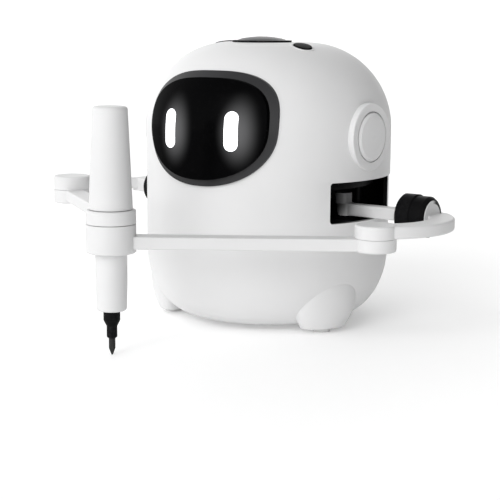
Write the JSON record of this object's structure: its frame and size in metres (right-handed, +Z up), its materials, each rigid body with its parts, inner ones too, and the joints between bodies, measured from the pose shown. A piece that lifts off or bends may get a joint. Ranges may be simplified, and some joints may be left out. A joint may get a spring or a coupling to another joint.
{
  "type": "desktop drawing robot",
  "caption": "Round two-shell desktop robot with a dark face window whose two jointed side arms reach forward and carry one upright marker.",
  "frame": {"origin": "centre of the grip pad's underside on the table, on the round body's axis", "axes": "+Z up, the face looks along -Y, the right arm reaches out along +X"},
  "size_m": [0.2182, 0.1838, 0.1382],
  "materials": {
    "white_shell": "satin",
    "arm_plastic": "fine matt texture",
    "visor_lens": "high gloss",
    "visor_bezel": "satin gloss",
    "eye_light": "lit diffuser",
    "black_plastic": "matt",
    "rubber": "matt",
    "grey_plastic": "satin",
    "button_face": "satin",
    "steel": "satin",
    "dark_steel": "blackened satin",
    "circuit_board": "lacquered",
    "chip": "matt",
    "battery_wrap": "satin wrap",
    "speaker_cone": "matt",
    "nib_felt": "matt felt"
  },
  "bodies": {
    "base": {"lower_shell": "white_shell", "upper_shell": "white_shell", "visor_bezel": "visor_bezel", "visor_lens": "visor_lens", "eye_light_right": "eye_light", "eye_light_left": "eye_light", "ear_flange_right": "white_shell", "ear_flange_left": "white_shell", "ear_cap_right": "white_shell", "ear_cap_left": "white_shell", "front_foot_right": "white_shell", "front_foot_left": "white_shell", "rear_foot": "white_shell", "foot_pads": "rubber", "grip_pad": "rubber", "base_plate": "white_shell", "chassis_drum": "black_plastic", "base_screws": "steel", "top_deck": "black_plastic", "guide_rods": "dark_steel", "lift_solenoid": "steel", "main_button_ring": "black_plastic", "side_button_rims": "white_shell", "main_board": "circuit_board", "board_standoffs": "steel", "board_screws": "steel", "board_chips": "chip", "speaker": "speaker_cone", "face_board": "circuit_board", "button_board": "circuit_board", "button_switches": "black_plastic", "button_board_posts": "white_shell", "battery_cells": "battery_wrap", "charge_port": "steel"},
    "lift_carriage": {"lift_carriage": "black_plastic", "lift_plunger": "steel", "shoulder_drive_right": "black_plastic", "shoulder_drive_left": "black_plastic"},
    "arm_right": {"arm_rod_right": "arm_plastic", "arm_hub_right": "grey_plastic", "arm_cuff_right": "black_plastic", "arm_crook_right": "arm_plastic", "elbow_pin_right": "steel"},
    "arm_left": {"arm_rod_left": "arm_plastic", "arm_hub_left": "grey_plastic", "arm_cuff_left": "black_plastic", "arm_crook_left": "arm_plastic", "elbow_pin_left": "steel"},
    "forearm_right": {"forearm_right": "arm_plastic"},
    "forearm_left": {"forearm_left": "arm_plastic"},
    "marker": {"marker_cover": "arm_plastic", "marker_barrel": "arm_plastic", "nib_collar": "black_plastic", "nib_holder": "black_plastic", "nib": "nib_felt"},
    "main_button": {"main_button": "button_face"},
    "side_button_right": {"side_button_right": "black_plastic"},
    "side_button_left": {"side_button_left": "black_plastic"}
  },
  "joints": [
    {"name": "lift", "type": "slide", "parent": "base", "child": "lift_carriage", "axis": [0, 0, 1], "range_m": [0, 0.006]},
    {"name": "shoulder_right", "type": "hinge", "parent": "lift_carriage", "child": "arm_right", "pos_m": [0.0442, -0.0005, 0.0566], "axis": [0, 0, 1], "range_deg": [-15, 15]},
    {"name": "shoulder_left", "type": "hinge", "parent": "lift_carriage", "child": "arm_left", "pos_m": [-0.0442, -0.0005, 0.0584], "axis": [0, 0, 1], "range_deg": [-7, 7]},
    {"name": "elbow_right", "type": "hinge", "parent": "arm_right", "child": "forearm_right", "pos_m": [0.08396, -0.04873, 0.0523], "axis": [0, 0, 1], "range_deg": [-13, 13]},
    {"name": "elbow_left", "type": "hinge", "parent": "arm_left", "child": "forearm_left", "pos_m": [-0.09709, -0.03381, 0.0598], "axis": [0, 0, 1], "range_deg": [-2, 2]},
    {"name": "marker_slide", "type": "slide", "parent": "forearm_right", "child": "marker", "axis": [0, 0, 1], "range_m": [0, 0.045]},
    {"name": "main_press", "type": "slide", "parent": "base", "child": "main_button", "axis": [0, 0, -1], "range_m": [0, 0.001], "stiffness_N_per_m": 300, "springref_m": -0.001},
    {"name": "side_press_right", "type": "slide", "parent": "base", "child": "side_button_right", "axis": [0, 0, -1], "range_m": [0, 0.0006], "stiffness_N_per_m": 300, "springref_m": -0.0005},
    {"name": "side_press_left", "type": "slide", "parent": "base", "child": "side_button_left", "axis": [0, 0, -1], "range_m": [0, 0.0006], "stiffness_N_per_m": 300, "springref_m": -0.0005}
  ],
  "couplings": [
    {"joint": "shoulder_left", "follows": "shoulder_right", "ratio": 0.447},
    {"joint": "elbow_right", "follows": "shoulder_right", "ratio": -0.834},
    {"joint": "elbow_left", "follows": "shoulder_right", "ratio": 0.113}
  ]
}
